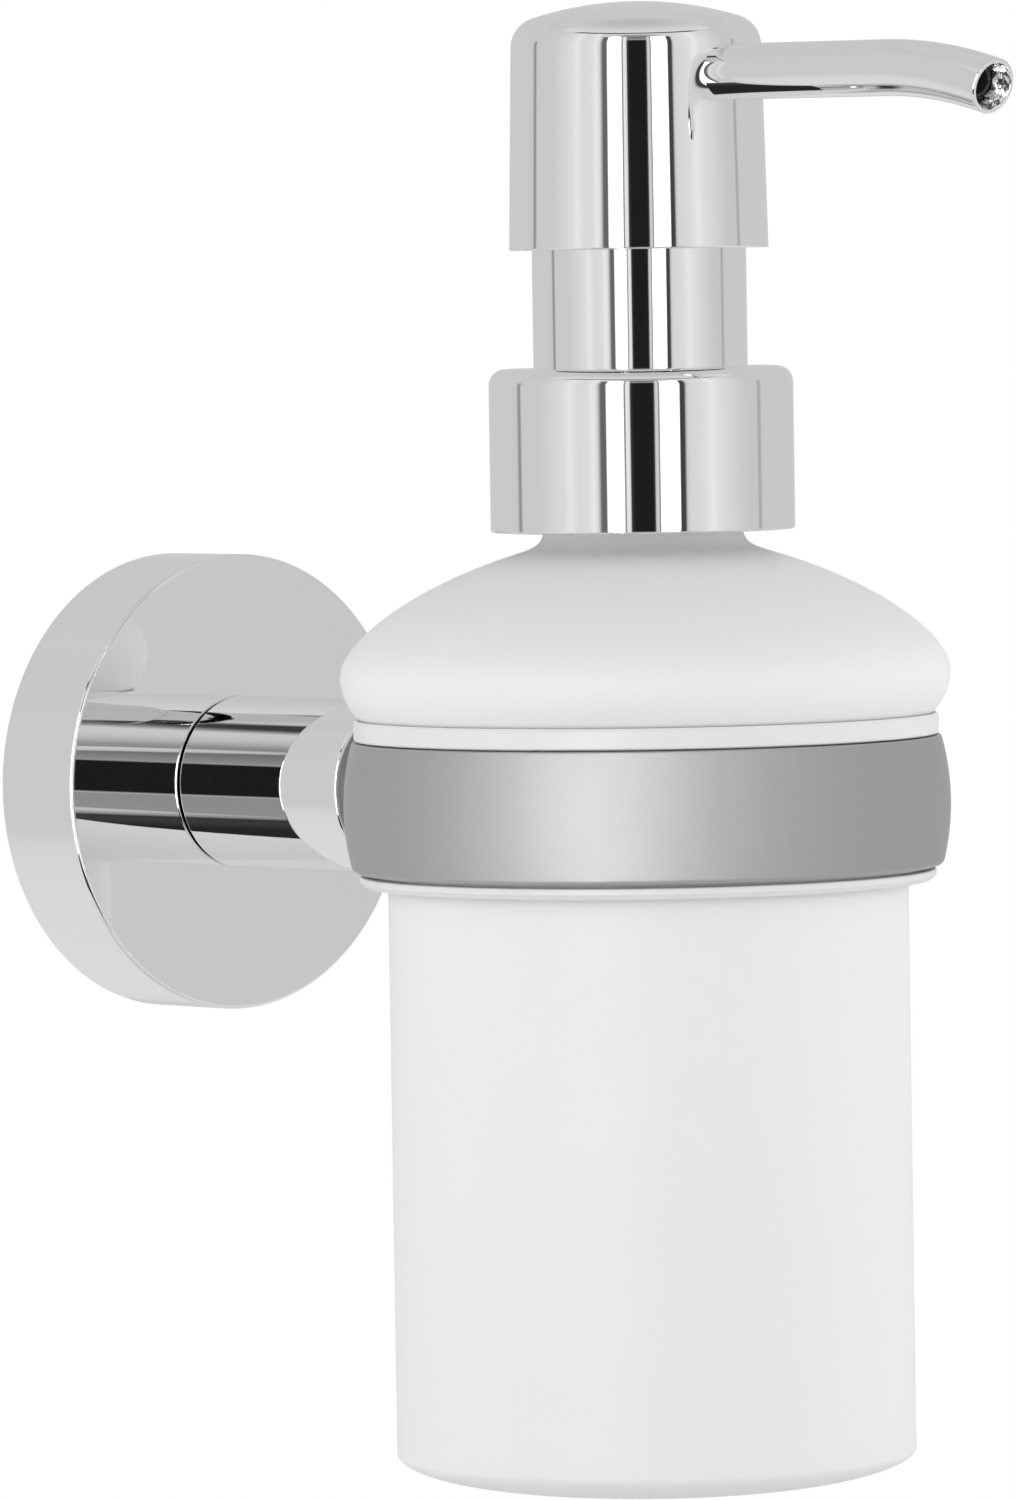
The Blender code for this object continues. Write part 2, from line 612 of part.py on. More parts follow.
line = []
for i in range(17):
    out = 6.0 + (SPOUT_TIP - 6.0) * i / 16
    drop = max(0.0, out - SPOUT_BEND) ** 2 / (2 * SPOUT_BEND_R) + 0.006 * max(0.0, out - 14)
    line.append((0, -out, SPOUT_Z - drop))
carrier = tube("spout_line", line, SPOUT_R, 4, caps=False)
parts.objects.link(carrier)
carrier.parent = head_axis
bpy.context.view_layer.update()
spout_mesh = bpy.data.meshes.new_from_object(carrier.evaluated_get(bpy.context.evaluated_depsgraph_get()))
bpy.data.objects.remove(carrier, do_unlink=True)
spout_mesh.name = "spout"
spout_mesh.materials.clear()
spout = place(bpy.data.objects.new("spout", spout_mesh), material("spout_chrome", CHROME, 0.05, 1.0), head_axis)
wall = spout.modifiers.new("wall", "SOLIDIFY")
wall.thickness = SPOUT_WALL * MM
wall.offset = -1
wall.use_even_offset = True
spout_mesh.shade_smooth()
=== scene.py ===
import math

import bmesh
import bpy
from mathutils import Matrix, Vector


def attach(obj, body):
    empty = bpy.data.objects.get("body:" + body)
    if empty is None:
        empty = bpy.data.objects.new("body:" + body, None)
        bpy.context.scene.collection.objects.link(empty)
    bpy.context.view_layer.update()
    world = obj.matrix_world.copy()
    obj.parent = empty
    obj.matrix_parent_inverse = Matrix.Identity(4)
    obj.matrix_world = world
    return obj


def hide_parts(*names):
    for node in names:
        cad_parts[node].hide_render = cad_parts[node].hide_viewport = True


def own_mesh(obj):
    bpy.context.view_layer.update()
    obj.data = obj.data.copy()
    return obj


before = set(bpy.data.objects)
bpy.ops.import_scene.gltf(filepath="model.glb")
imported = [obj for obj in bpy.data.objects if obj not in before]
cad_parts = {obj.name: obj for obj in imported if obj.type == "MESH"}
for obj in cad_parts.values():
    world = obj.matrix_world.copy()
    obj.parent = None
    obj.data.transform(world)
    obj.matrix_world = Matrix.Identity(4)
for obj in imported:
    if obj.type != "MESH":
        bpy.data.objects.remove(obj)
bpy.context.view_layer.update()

MM = 0.001
TAU = 2 * math.pi
OUT = 86.0
made = bpy.data.collections.new("dispenser_look")
studio = bpy.data.collections.new("studio")
for c in (made, studio):
    bpy.context.scene.collection.children.link(c)


# ---- materials --------------------------------------------------------------
def finish(
    name, colour, metallic=0.0, rough=0.3, spread=0.0, patch=12.0, grain=0.4, relief=0.0,
    tone=None, stretch=(1, 1, 1), fine=0.0, hard=0.2, **sockets
):
    """One Principled shader. Roughness varies over patches, relief comes from a fine grain, and
    tone, a second colour, is mixed in over the same patches, the more sharply the smaller hard is.
    Sizes are in mm."""
    m = bpy.data.materials.new(name)
    m.use_nodes = True
    nt = m.node_tree
    b = nt.nodes["Principled BSDF"]
    b.inputs["Metallic"].default_value = metallic
    b.inputs["Base Color"].default_value = (*colour, 1)
    b.inputs["Roughness"].default_value = rough
    for key, value in sockets.items():
        b.inputs[key.replace("_", " ")].default_value = value
    coord = nt.nodes.new("ShaderNodeTexCoord")
    place = nt.nodes.new("ShaderNodeMapping")
    place.inputs["Scale"].default_value = stretch
    nt.links.new(coord.outputs["Object"], place.inputs["Vector"])

    def noise(size, detail, roughness=0.5):
        n = nt.nodes.new("ShaderNodeTexNoise")
        n.inputs["Scale"].default_value = 1.0 / (size * MM)
        n.inputs["Detail"].default_value = detail
        n.inputs["Roughness"].default_value = roughness
        nt.links.new(place.outputs["Vector"], n.inputs["Vector"])
        return n

    broad = noise(patch, 3.0)
    speck = noise(grain, 2.0, 0.6)
    if spread:
        r = nt.nodes.new("ShaderNodeMapRange")
        r.inputs["From Min"].default_value = 0.3
        r.inputs["From Max"].default_value = 0.7
        r.inputs["To Min"].default_value = rough - spread
        r.inputs["To Max"].default_value = rough + spread
        nt.links.new(broad.outputs["Fac"], r.inputs["Value"])
        if fine:
            add = nt.nodes.new("ShaderNodeMath")
            add.operation = "MULTIPLY_ADD"
            add.inputs[1].default_value = fine
            nt.links.new(speck.outputs["Fac"], add.inputs[0])
            nt.links.new(r.outputs["Result"], add.inputs[2])
            nt.links.new(add.outputs["Value"], b.inputs["Roughness"])
        else:
            nt.links.new(r.outputs["Result"], b.inputs["Roughness"])
    if tone:
        ramp = nt.nodes.new("ShaderNodeValToRGB")
        ramp.color_ramp.elements[0].position = 0.5 - hard
        ramp.color_ramp.elements[0].color = (*colour, 1)
        ramp.color_ramp.elements[1].position = 0.5 + hard
        ramp.color_ramp.elements[1].color = (*tone, 1)
        nt.links.new((speck if fine else broad).outputs["Fac"], ramp.inputs["Fac"])
        nt.links.new(ramp.outputs["Color"], b.inputs["Base Color"])
    if relief:
        bump = nt.nodes.new("ShaderNodeBump")
        bump.inputs["Strength"].default_value = 1.0
        bump.inputs["Distance"].default_value = relief * MM
        nt.links.new(speck.outputs["Fac"], bump.inputs["Height"])
        nt.links.new(bump.outputs["Normal"], b.inputs["Normal"])
    return m


chrome = finish("polished_chrome", (0.88, 0.88, 0.885), 1.0, 0.018, 0.008, 9, 14, 0.004)
# painted shade: the spout's mouth is near-black chrome standing for the shade inside the opening, mottled with patches
# of white chrome
painted_shade_bore = finish(
    "painted_shade_bore", (0.10, 0.10, 0.105), 1.0, 0.20, 0.06, 2.0, 0.95, 0.10, (1.0, 1.0, 1.0), hard=0.05, fine=0.02
)
satin = finish(
    "satin_metal", (0.50, 0.50, 0.50), 1.0, 0.62, 0.02, 18, 0.16, 0.0016, (0.54, 0.54, 0.535), fine=0.03
)
frosted = finish(
    "frosted_glass", (0.93, 0.935, 0.94), 0.0, 0.50, 0.03, 22, 0.22, 0.006, (0.945, 0.95, 0.95), fine=0.04,
    IOR=1.5, Transmission_Weight=0.18, Specular_IOR_Level=0.3,
)
lip_plastic = finish("liner_plastic", (0.735, 0.738, 0.74), 0.0, 0.42, 0.04, 12, 0.4, 0.004, (0.755, 0.757, 0.757))
white = finish("white_plastic", (0.86, 0.86, 0.855), 0.0, 0.36, 0.05, 10, 0.5, 0.004, (0.89, 0.89, 0.885))
grey_plastic = finish("moulded_plastic", (0.80, 0.80, 0.795), 0.0, 0.38, 0.05, 8, 0.5, 0.005, (0.84, 0.84, 0.83))
natural = finish(
    "natural_plastic", (0.84, 0.86, 0.86), 0.0, 0.32, 0.05, 8, 0.6, 0.004, (0.88, 0.89, 0.89),
    Transmission_Weight=0.35, IOR=1.49,
)
clear = finish(
    "clear_tube", (0.88, 0.90, 0.91), 0.0, 0.22, 0.05, 7, 0.8, 0.004, (0.91, 0.93, 0.93), Transmission_Weight=0.6,
    IOR=1.49,
)
# painted shade: a near-black tube lines the spout's bore and stands for the shade inside it
painted_shade_black = finish("painted_shade_tube", (0.03, 0.03, 0.032), 0.0, 0.45, 0.08, 3, 0.3, 0.004, (0.045, 0.045, 0.047))
rubber = finish("seal_rubber", (0.55, 0.55, 0.54), 0.0, 0.62, 0.07, 3, 0.25, 0.006, (0.62, 0.62, 0.60))
foam = finish("seal_foam", (0.72, 0.72, 0.70), 0.0, 0.85, 0.06, 2, 0.35, 0.05, (0.80, 0.80, 0.78))
zinc = finish("zinc_steel", (0.55, 0.56, 0.57), 1.0, 0.36, 0.08, 3, 0.5, 0.008, (0.63, 0.63, 0.63))
steel = finish("screw_steel", (0.50, 0.50, 0.51), 1.0, 0.27, 0.07, 3, 0.3, 0.006, (0.60, 0.60, 0.60))
spring_steel = finish("spring_steel", (0.56, 0.56, 0.57), 1.0, 0.22, 0.06, 2, 0.2, 0.003, (0.66, 0.66, 0.66))
bearing = finish("ball_steel", (0.72, 0.72, 0.73), 1.0, 0.06, 0.03, 2, 0.8, 0.002)


# ---- shapes -----------------------------------------------------------------
def arc(cx, cz, r, a0, a1, n):
    return [
        (cx + r * math.cos(math.radians(a0 + (a1 - a0) * i / n)), cz + r * math.sin(math.radians(a0 + (a1 - a0) * i / n)))
        for i in range(n + 1)
    ]


def eased(profile, closed, seg=7):
    """Rounds the corners of a profile: each point is (radius, height) or (radius, height, fillet)."""
    n, out = len(profile), []
    for i, p in enumerate(profile):
        f = p[2] if len(p) > 2 else 0.0
        if f <= 0 or (not closed and i in (0, n - 1)):
            out.append((p[0], p[1]))
            continue
        here = Vector(p[:2])
        u = Vector(profile[i - 1][:2]) - here
        v = Vector(profile[(i + 1) % n][:2]) - here
        lu, lv = u.length, v.length
        u.normalize()
        v.normalize()
        half = u.angle(v) / 2
        if half > math.radians(89):
            out.append((p[0], p[1]))
            continue
        t = min(f / math.tan(half), 0.46 * lu, 0.46 * lv)
        rad = t * math.tan(half)
        centre = here + (u + v).normalized() * (rad / math.sin(half))
        s, e = here + u * t - centre, here + v * t - centre
        a0 = math.atan2(s.y, s.x)
        turn = (math.atan2(e.y, e.x) - a0 + math.pi) % TAU - math.pi
        for k in range(seg + 1):
            a = a0 + turn * k / seg
            out.append((centre.x + rad * math.cos(a), centre.y + rad * math.sin(a)))
    return out


def outward(points, closed):
    """The points anticlockwise, and the outward normal at each, weighted by the lengths beside it."""
    area = sum(a[0] * b[1] - b[0] * a[1] for a, b in zip(points, points[1:] + points[:1]))
    pts = list(points) if area > 0 else list(reversed(points))
    n, normals = len(pts), []
    for i in range(n):
        total = Vector((0, 0))
        for a, b in ((i - 1, i), (i, i + 1)):
            if not closed and (a < 0 or b > n - 1):
                continue
            d = Vector(pts[b % n]) - Vector(pts[a % n])
            total += Vector((d.y, -d.x))
        normals.append(total.normalized() if total.length > 1e-12 else Vector((1, 0)))
    if not closed:  # the ends lie on the axis
        for i in (0, n - 1):
            normals[i] = Vector((0, 1 if normals[i].y > 0 else -1))
    return pts, normals


def keep(name, verts, faces, normals, mat):
    me = bpy.data.meshes.new(name)
    me.from_pydata(verts, [], faces)
    me.validate()
    me.shade_smooth()
    if normals:
        me.normals_split_custom_set_from_vertices(normals)
    me.materials.append(mat)
    o = bpy.data.objects.new(name, me)
    made.objects.link(o)
    return o


def spun(points, normals, closed, steps, where):
    """Vertices, faces and normals of a profile turned about its axis. where(r, angle, h, nr, nh)
    gives a vertex and its normal in the row's frame."""
    verts, faces, nrm, rows = [], [], [], []
    for (r, h), n in zip(points, normals):
        if r < 1e-9:
            v, m = where(0, 0, h, 0, n.y)
            rows.append([len(verts)])
            verts.append(v)
            nrm.append(m)
            continue
        rows.append(list(range(len(verts), len(verts) + steps)))
        for j in range(steps):
            v, m = where(r, TAU * j / steps, h, n.x, n.y)
            verts.append(v)
            nrm.append(m)
    pairs = list(zip(rows, rows[1:])) + ([(rows[-1], rows[0])] if closed else [])
    for a, b in pairs:
        for j in range(steps):
            k = (j + 1) % steps
            if len(a) == 1 and len(b) == 1:
                break
            if len(a) == 1:
                faces.append((a[0], b[k], b[j]))
            elif len(b) == 1:
                faces.append((a[j], a[k], b[0]))
            else:
                faces.append((a[j], a[k], b[k], b[j]))
    return verts, faces, nrm


def upright(r, t, h, nr, nh):
    c, s = math.cos(t), math.sin(t)
    return (r * c * MM, (r * s - OUT) * MM, h * MM), (nr * c, nr * s, nh)


def along_arm(r, t, h, nr, nh):
    c, s = math.cos(t), math.sin(t)
    return (r * c * MM, -h * MM, r * s * MM), (nr * c, -nh, nr * s)


def turned(name, profile, steps, mat, where=upright, seg=7, exact=True):
    closed = not any(p[0] < 1e-9 for p in profile)
    if not closed:
        k = next((i for i in range(len(profile)) if profile[i][0] < 1e-9 and profile[i - 1][0] < 1e-9), 0)
        profile = profile[k:] + profile[:k]
    pts, normals = outward(eased(profile, closed, seg), closed)
    v, f, n = spun(pts, normals, closed, steps, where)
    return keep(name, v, f, n if exact else None, mat)


def part(o, node, body):
    """Stands for a CAD node, on its body."""
    if node:
        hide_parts(node)
    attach(o, body)
    return o


def cutter(name, shape, length, at, along):
    """An extruded outline of (u, v) points for cutting. along is the direction it cuts in."""
    me = bpy.data.meshes.new(name)
    bm = bmesh.new()
    z = Vector(along).normalized()
    x = Vector((1, 0, 0)) if abs(z.x) < 0.9 else Vector((0, 1, 0))
    y = z.cross(x)
    mid = Vector(at) * MM
    low = [bm.verts.new(mid + (x * u + y * v - z * length / 2) * MM) for u, v in shape]
    top = [bm.verts.new(mid + (x * u + y * v + z * length / 2) * MM) for u, v in shape]
    n = len(shape)
    for i in range(n):
        bm.faces.new((low[i], low[(i + 1) % n], top[(i + 1) % n], top[i]))
    bm.faces.new(list(reversed(low)))
    bm.faces.new(top)
    bmesh.ops.recalc_face_normals(bm, faces=bm.faces)
    bm.to_mesh(me)
    bm.free()
    o = bpy.data.objects.new(name, me)
    studio.objects.link(o)
    return o


def disc(r, n=32):
    return [(r * math.cos(TAU * i / n), r * math.sin(TAU * i / n)) for i in range(n)]


def hexagon(across):
    return [(across / math.sqrt(3) * math.cos(TAU * i / 6), across / math.sqrt(3) * math.sin(TAU * i / 6)) for i in range(6)]


def drill(o, tools, edge=0.0):
    """Cuts the tools out of o for good, then eases and shades the new edges."""
    for t in tools:
        m = o.modifiers.new("cut", "BOOLEAN")
        m.operation, m.solver, m.object = "DIFFERENCE", "EXACT", t
    bpy.context.view_layer.update()
    me = bpy.data.meshes.new_from_object(o.evaluated_get(bpy.context.evaluated_depsgraph_get()))
    o.modifiers.clear()
    o.data = me
    for t in tools:
        bpy.data.objects.remove(t, do_unlink=True)
    me.shade_smooth()
    me.set_sharp_from_angle(angle=math.radians(32))
    if edge:
        b = o.modifiers.new("ease", "BEVEL")
        b.width, b.segments, b.limit_method, b.angle_limit = edge * MM, 2, "ANGLE", math.radians(32)
    w = o.modifiers.new("shade", "WEIGHTED_NORMAL")
    w.keep_sharp = True
    w.weight = 80
    return o


def resampled(points, step):
    """Even points along a polyline."""
    out, carry = [points[0]], 0.0
    for a, b in zip(points, points[1:]):
        d = math.dist(a, b)
        t = step - carry
        while t < d:
            out.append((a[0] + (b[0] - a[0]) * t / d, a[1] + (b[1] - a[1]) * t / d))
            t += step
        carry = (carry + d) % step
    return out + [points[-1]]


def relaxed(points, times):
    pts = list(points)
    for _ in range(times):
        pts = (
            [pts[0]]
            + [
                ((a[0] + 2 * b[0] + c[0]) / 4, (a[1] + 2 * b[1] + c[1]) / 4)
                for a, b, c in zip(pts, pts[1:], pts[2:])
            ]
            + [pts[-1]]
        )
    return pts


# ---- holder -----------------------------------------------------------------
plate = turned(
    "plate",
    [(0, 3.2), (8, 3.2, 0.5), (8, 7.0, 0.5), (22, 7.0, 0.8), (22, 3.0, 0.6), (26.5, 3.0, 0.4), (26.5, 0, 0.3), (0, 0)],
    120, zinc, along_arm, exact=False,
)
tools = []
for side in (-1, 1):
    tag = "l" if side < 0 else "r"
    for r, y, length in ((2.4, 0, 30), (4.5, -6.6, 6)):
        ring = [(r * math.cos(math.pi * i / 16), 2.6 + r * math.sin(math.pi * i / 16)) for i in range(17)]
        ring += [(-u, -v) for u, v in ring]
        tools.append(cutter("slot_" + tag, ring, length, (side * 14.8, y, 0), (0, 1, 0)))
part(drill(plate, tools, 0.12), "wall_plate", "holder")

rose = turned(
    "rose",
    [
        (3.4, 13.35, 0.12), (28.65, 13.35, 0.5), (28.65, 0.3, 0.22), (26.9, 0.3, 0.18), (26.9, 10.9, 1.2), (3.4, 10.9, 0.1),
    ],
    192, chrome, along_arm, exact=False,
)
drill(rose, [cutter("grub_way", disc(2.3), 6, (0, -5.2, -28.15), (0, 0, 1))], 0.1)
part(rose, "flange_cover", "holder")


def down(r, t, h, nr, nh):
    """About the grub screw's axis."""
    c, s = math.cos(t), math.sin(t)
    return (r * c * MM, (r * s - 5.2) * MM, (h - 28.5) * MM), (nr * c, nr * s, nh)


grub_profile = [(0, 6.2), (1.2, 6.2, 0.1)]
for i in range(7):  # thread turns, drawn as rings
    h = 5.5 - i * 0.75
    grub_profile += [(1.9, h), (1.9, h - 0.18), (1.62, h - 0.37), (1.62, h - 0.45)]
grub_profile += [(1.9, 0.32), (1.6, 0.0, 0.05), (0, 0.0)]
grub = turned("grub", grub_profile, 40, steel, down, exact=False)
drill(grub, [cutter("grub_key", hexagon(2.0), 4, (0, -5.2, -28.5), (0, 0, 1))])
part(grub, "flange_grub_screw", "holder")

face = 13.35 - 2.45 - 0.3
bolt = turned(
    "rose_bolt",
    [
        (0, 26), (2.5, 26, 0.1), (3.0, 25.4, 0.1), (3.0, face, 0.1), (5.0, face, 0.3), (5.0, face - 5.3, 0.6), (0, face - 5.3),
    ],
    64, steel, along_arm, exact=False,
)
drill(bolt, [cutter("bolt_key", hexagon(4.0), 5, (0, -(face - 5.3), 0), (0, 1, 0))])
part(bolt, "arm_screw", "holder")

part(
    turned(
        "arm",
        [
            (0, 33), (2.35, 33), (2.35, 42.4, 0.25), (10.87, 42.4, 0.5), (10.87, 13.65, 0.22), (3.35, 13.65, 0.1), (3.35, 28), (0, 28),
        ],
        176, chrome, along_arm,
    ),
    "arm_post", "holder",
)

boss = turned(
    "boss", [(2.35, 49.2), (6.0, 49.2), (6.0, 42.7, 0.25), (2.35, 42.7, 0.15)], 96, chrome, along_arm
)
for v in boss.data.vertices:  # the outer end lies against the ring
    if v.co.y < -49.0 * MM:
        v.co.y = -(OUT - math.sqrt(37.09**2 - (v.co.x / MM) ** 2)) * MM
part(boss, "ring_spacer", "holder")


def barrel(z):
    return 36.74 - 0.0169 * (z + 0.9) ** 2


low, high = -7.95, 6.835
lean = math.degrees(math.atan(2 * 0.0169 * (low + 0.9)))
lean_up = math.degrees(math.atan(2 * 0.0169 * (high + 0.9)))
ring_profile = arc(barrel(low) - 1.0 * math.cos(math.radians(lean)), low - math.sin(math.radians(lean)), 1.0, -90, lean, 8)
ring_profile += [(barrel(low + (high - low) * i / 26), low + (high - low) * i / 26) for i in range(1, 27)]
ring_profile += arc(
    barrel(high) - 0.3 * math.cos(math.radians(lean_up)), high - 0.3 * math.sin(math.radians(lean_up)), 0.3, lean_up, 90, 6
)[1:]
ring_low = min(z for r, z in ring_profile)
ring_profile += [(33.6, max(z for r, z in ring_profile), 0.25), (33.6, ring_low, 0.25)]
pts, normals = outward(eased(ring_profile, True), True)
# the brushing runs round the ring and draws a highlight up its whole height: the outer face is
# shaded flatter than it is
normals = [Vector((n.x, n.y * 0.25)).normalized() if n.x > 0.9 else n for n in normals]
v, f, n = spun(pts, normals, True, 192, upright)
part(keep("band", v, f, n, satin), "holder_ring", "holder")

bolt_in = OUT - 33.6
band_screw = turned(
    "band_screw",
    [
        (0, bolt_in - 0.15), (3.9, bolt_in - 0.15, 0.1), (3.9, bolt_in - 0.5, 0.1), (2.0, bolt_in - 2.35, 0.2), (2.0, 34.5), (1.6, 34), (0, 34),
    ],
    56, steel, along_arm, exact=False,
)
drill(band_screw, [cutter("band_key", hexagon(2.4), 3, (0, -bolt_in, 0), (0, 1, 0))])
part(band_screw, "ring_screw", "holder")


def seat(r):
    return 15.2 - math.sqrt(7.9**2 - (r - 29.3) ** 2)


part(
    turned(
        "liner",
        [
            (35.4, 9.45, 0.12), (35.4, 7.24, 0.3), (33.3, 7.24, 0.1), (33.3, -9.1, 0.1), (34.9, -9.1, 0.28), (34.9, -9.85, 0.15),
            (34.2, -10.45, 0.3), (32.1, -10.65, 0.25), (32.1, 7.6, 0.2),
        ]
        + [(r, seat(r)) for r in (33.0, 33.4, 33.8, 34.2, 34.6)]
        + [(35.1, seat(35.1), 0.12)],
        176, lip_plastic,
    ),
    "ring_liner", "holder",
)


# ---- bottle -----------------------------------------------------------------
def shoulder(r, big, rise):
    return 15.2 + rise * max(0.0, 1 - (r / big) ** 1.6) ** 0.625


def crown(r0, r1, big, rise, n):
    return [
        (r0 + (r1 - r0) * math.sin(math.pi / 2 * i / n), shoulder(r0 + (r1 - r0) * math.sin(math.pi / 2 * i / n), big, rise))
        for i in range(n + 1)
    ]


skin = [(12.0, 44.0), (12.0, 31.9)] + arc(13.25, 31.75, 1.25, 180, 250, 10)
skin += [p for p in crown(13.4, 37.0, 37.0, 17.1, 90)]
skin += arc(29.3, 15.2, 7.7, -1, -72, 40) + [(31.5, 7.3), (31.5, 6.4)]
skin = relaxed(resampled(skin, 0.32), 14)
heel = []
for i in range(1, 22):
    t = math.pi / 2 * i / 21
    heel.append((31.5 - 20 + 20 * math.cos(t) ** (2 / 1.9) if i < 21 else 11.5, -83.5 + 4.2 - 4.2 * math.sin(t) ** (2 / 1.9)))
outside = [(9.4, 46.0, 0.7), (12.0, 46.0, 0.8), (12.0, 45.0)] + skin + [(31.5, -78.0), (31.5, -79.3)] + heel
outside += [(10.0, -83.5), (8.6, -83.38), (6.8, -83.1), (4.0, -82.86), (0, -82.75)]
inside = [(0, -78.5), (24.5, -78.5)] + arc(24.5, -74.5, 4, -90, 0, 8)[1:] + [(28.5, 9.0)]
inside += arc(29.3, 15.2, 4.7, -70, -4, 14)
inside += list(reversed(crown(10.4, 33.9, 34.0, 14.4, 40))) + [(9.4, shoulder(9.4, 34.0, 14.4) + 0.4)]
glass = turned("bottle", outside + inside, 192, frosted)
part(glass, "glass_bottle", "bottle")


def thread(name, r_base, r_crest, w_base, w_crest, z0, mat, turns=1.4, pitch=3.2, per_turn=72):
    """A screw thread's ridge with tapered ends and rounded flanks."""
    verts, faces, rows = [], [], []
    n = int(turns * per_turn)
    for i in range(n + 1):
        t = i / n
        a, z = TAU * turns * t, z0 + pitch * turns * t
        high = min(1.0, 0.04 + 7 * t, 0.04 + 7 * (1 - t))
        high = high * high * (3 - 2 * high)
        rows.append(len(verts))
        for k in range(9):
            u = -1 + 2 * k / 8
            w = w_base / 2 * u
            shape = min(1.0, (1 - abs(u)) * w_base / max(1e-6, (w_base - w_crest)))
            shape = shape * shape * (3 - 2 * shape)
            r = r_base + (r_crest - r_base) * high * shape
            verts.append((r * math.cos(a) * MM, (r * math.sin(a) - OUT) * MM, (z + w) * MM))
        for k in range(8, -1, -1):
            w = w_base / 2 * (-1 + 2 * k / 8)
            r = r_base - (0.25 if r_crest > r_base else -0.25)
            verts.append((r * math.cos(a) * MM, (r * math.sin(a) - OUT) * MM, (z + w) * MM))
    m = 18
    for a, b in zip(rows, rows[1:]):
        for k in range(m):
            q = (k + 1) % m
            faces.append((a + k, a + q, b + q, b + k) if r_crest < r_base else (a + k, b + k, b + q, a + q))
    faces.append(tuple(range(rows[0], rows[0] + m)))
    faces.append(tuple(range(rows[-1] + m - 1, rows[-1] - 1, -1)))
    o = keep(name, verts, faces, None, mat)
    bm = bmesh.new()
    bm.from_mesh(o.data)
    bmesh.ops.recalc_face_normals(bm, faces=bm.faces)
    bm.to_mesh(o.data)
    bm.free()
    o.data.shade_smooth()
    return o


o = thread("bottle_thread", 12.0, 13.3, 2.0, 0.9, 38.2, frosted)
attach(o, "bottle")

# ---- pump cartridge ---------------------------------------------------------
part(
    turned(
        "housing",
        [
            (13.4, 48.6, 0.2), (13.4, 47.6, 0.2), (9.0, 47.6, 0.3), (9.0, 38.5, 0.6), (7.4, 36, 0.6), (7.4, -3, 1.0), (4.6, -7.5, 0.8),
            (4.6, -17, 0.3), (3.3, -17, 0.1), (3.3, -6.5), (1.6, -6.5), (1.6, -4.0, 0.1), (2.9, -2.2, 0.2), (2.9, 1.5, 0.2), (6.2, 1.5, 0.3),
            (6.2, 38.5, 0.3), (8.0, 39.9, 0.3), (8.0, 48.6, 0.15),
        ],
        72, natural,
    ),
    "pump_housing", "cartridge",
)
part(
    turned("gasket", [(12.6, 47.3, 0.25), (12.6, 46.3, 0.25), (9.5, 46.3, 0.25), (9.5, 47.3, 0.25)], 96, foam),
    "housing_gasket", "cartridge",
)
part(
    turned(
        "retainer",
        [
            (11.8, 67.0, 0.25), (11.8, 50.8, 0.2), (10.9, 50.8, 0.1), (10.9, 48.95, 0.2), (7.65, 48.95, 0.2), (7.65, 40.8, 0.2), (7.0, 40.3, 0.1),
            (4.35, 40.3, 0.15), (4.35, 49.8, 0.1), (6.6, 49.8, 0.2), (6.6, 52.3, 0.2), (10.8, 52.3, 0.6), (10.8, 67.0, 0.2),
        ],
        96, natural,
    ),
    "stem_retainer", "cartridge",
)
part(
    turned("wiper", [(6.3, 51.6, 0.2), (6.3, 50.1, 0.2), (4.3, 50.1, 0.1), (4.3, 51.3, 0.05), (4.7, 51.6, 0.05)], 64, rubber),
    "stem_wiper", "cartridge",
)
part(
    turned("sleeve", [(12.94, 68.5, 0.3), (12.94, 50.8, 0.12), (12.1, 50.8, 0.12), (12.1, 68.5, 0.2)], 176, chrome),
    "guide_sleeve", "cartridge",
)
dip = turned("dip", [(3.0, -6.8, 0.2), (3.0, -77.0), (2.1, -77.0), (2.1, -6.8, 0.2)], 48, clear, exact=False)
slant = cutter("slant", [(-10, -5), (10, -5), (10, 5), (-10, 5)], 24, (0, -1.5 - OUT, -80.2), (0, math.cos(math.radians(35)), math.sin(math.radians(35))))
part(drill(dip, [slant]), "dip_tube", "cartridge")


def swept(name, path, radius, mat, sides=16):
    """A round wire along points in the row's frame, mm, with domed ends."""
    pts = [Vector(p) for p in path]
    n = len(pts)
    verts, faces = [], []
    side = None
    for i, p in enumerate(pts):
        t = (pts[min(i + 1, n - 1)] - pts[max(i - 1, 0)]).normalized()
        side = t.cross(Vector((0, 0, 1))).normalized() if side is None else (side - t * side.dot(t)).normalized()
        up = side.cross(t)
        for j in range(sides):
            a = TAU * j / sides
            verts.append((p + (side * math.cos(a) + up * math.sin(a)) * radius) * MM)
    for i in range(n - 1):
        for j in range(sides):
            k = (j + 1) % sides
            faces.append((i * sides + j, i * sides + k, (i + 1) * sides + k, (i + 1) * sides + j))
    for end, sign in ((0, -1), (n - 1, 1)):
        t = (pts[min(end + 1, n - 1)] - pts[max(end - 1, 0)]).normalized() * sign
        ring = list(range(end * sides, end * sides + sides))
        for step in (0.5, 0.85):
            new = []
            for j in ring:
                base = Vector(verts[j])
                new.append(len(verts))
                verts.append(base + (pts[end] * MM - base) * (1 - math.sqrt(1 - step**2)) + t * radius * 0.4 * MM * step if step < 0.6 else base + (pts[end] * MM - base) * 0.5 + t * radius * 0.16 * MM)
            for j in range(sides):
                k = (j + 1) % sides
                q = (ring[j], ring[k], new[k], new[j])
                faces.append(q if sign > 0 else tuple(reversed(q)))
            ring = new
        tip = len(verts)
        verts.append(pts[end] * MM + t * radius * 0.5 * MM)
        for j in range(sides):
            k = (j + 1) % sides
            q = (ring[j], ring[k], tip)
            faces.append(q if sign > 0 else tuple(reversed(q)))
    return keep(name, [tuple(v) for v in verts], faces, None, mat)


